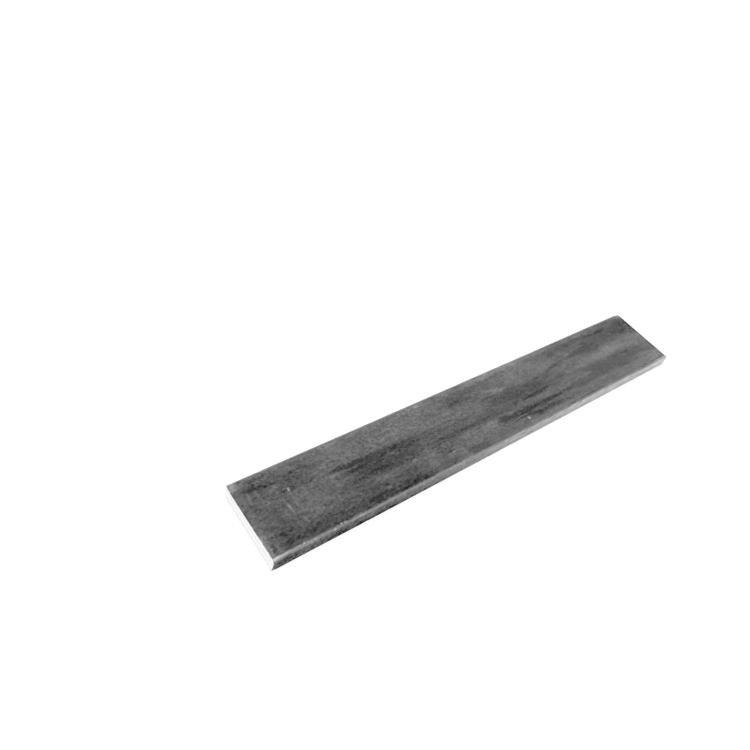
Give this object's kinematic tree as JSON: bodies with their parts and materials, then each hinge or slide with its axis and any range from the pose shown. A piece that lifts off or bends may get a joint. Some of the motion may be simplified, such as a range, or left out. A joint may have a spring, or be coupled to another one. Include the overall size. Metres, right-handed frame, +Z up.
{
  "type": "metal flat bar",
  "caption": "Short length of hot-rolled steel flat bar with rounded long corners and square saw-cut ends, dark with mill scale.",
  "frame": {"origin": "middle of the underside, on the surface that the bar lies on", "axes": "+X along the bar's length, +Y across its width, +Z up through its thickness"},
  "size_m": [0.2, 0.03, 0.006],
  "materials": {
    "mill_scale_steel": "hot-rolled mill scale, satin"
  },
  "bodies": {
    "root": {"flat_bar": "mill_scale_steel"}
  },
  "joints": []
}
